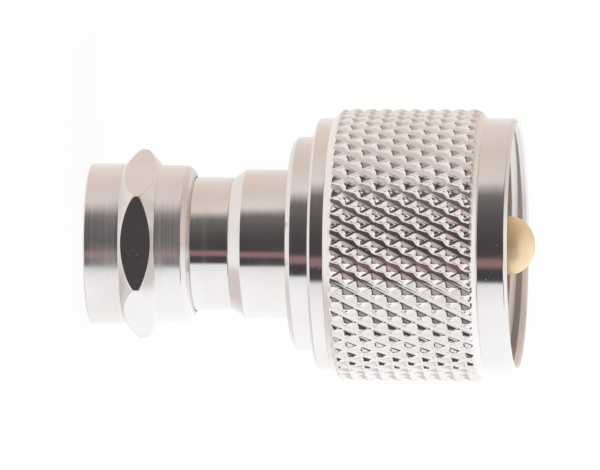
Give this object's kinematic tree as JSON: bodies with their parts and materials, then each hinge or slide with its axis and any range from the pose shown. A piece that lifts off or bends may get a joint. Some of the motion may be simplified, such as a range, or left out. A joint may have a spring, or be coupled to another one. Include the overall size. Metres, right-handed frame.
{
  "type": "uhf connector",
  "caption": "Coaxial adapter between a large threaded plug with a diamond-knurled coupling nut and domed pin and a small threaded plug with a hexagon coupling nut.",
  "frame": {"origin": "on the common axis at the face of the small plug's hexagon nut, on which the part stands", "axes": "+Z along the common axis from the small plug to the large plug; +X and -X through two corners of the hexagon nut"},
  "size_m": [0.0182, 0.0182, 0.0299],
  "materials": {
    "nickel_knurled": "bright nickel plate over a diamond knurl",
    "nickel_body": "bright nickel plate over fine turning marks",
    "nickel_hex": "bright nickel plate, milled flats",
    "gold_contact": "thin gold plate, satin",
    "brass_ring": "nickel plate",
    "spring_bronze": "plain drawn spring wire",
    "insulator": "white fluoropolymer"
  },
  "bodies": {
    "body": {"uhf_body": "nickel_body", "uhf_insulator": "insulator", "insulator_ring": "brass_ring", "uhf_pin": "gold_contact", "small_body": "nickel_body", "small_insulator": "insulator", "small_pin": "gold_contact"},
    "coupling_ring": {"coupling_snap_ring": "spring_bronze"},
    "coupling": {"coupling_nut": "nickel_knurled"},
    "hex_ring": {"hex_snap_ring": "spring_bronze"},
    "hexagon": {"hex_nut": "nickel_hex"}
  },
  "joints": [
    {"name": "coupling_slide", "type": "slide", "parent": "body", "child": "coupling_ring", "axis": [0, 0, 1], "range_m": [0, 0.0012]},
    {"name": "coupling_spin", "type": "hinge", "parent": "coupling_ring", "child": "coupling", "pos_m": [0, 0, 0.02], "axis": [0, 0, 1], "continuous": true},
    {"name": "hex_slide", "type": "slide", "parent": "body", "child": "hex_ring", "axis": [0, 0, 1], "range_m": [-0.0005, 0]},
    {"name": "hex_spin", "type": "hinge", "parent": "hex_ring", "child": "hexagon", "pos_m": [0, 0, 0.0035], "axis": [0, 0, 1], "continuous": true}
  ]
}
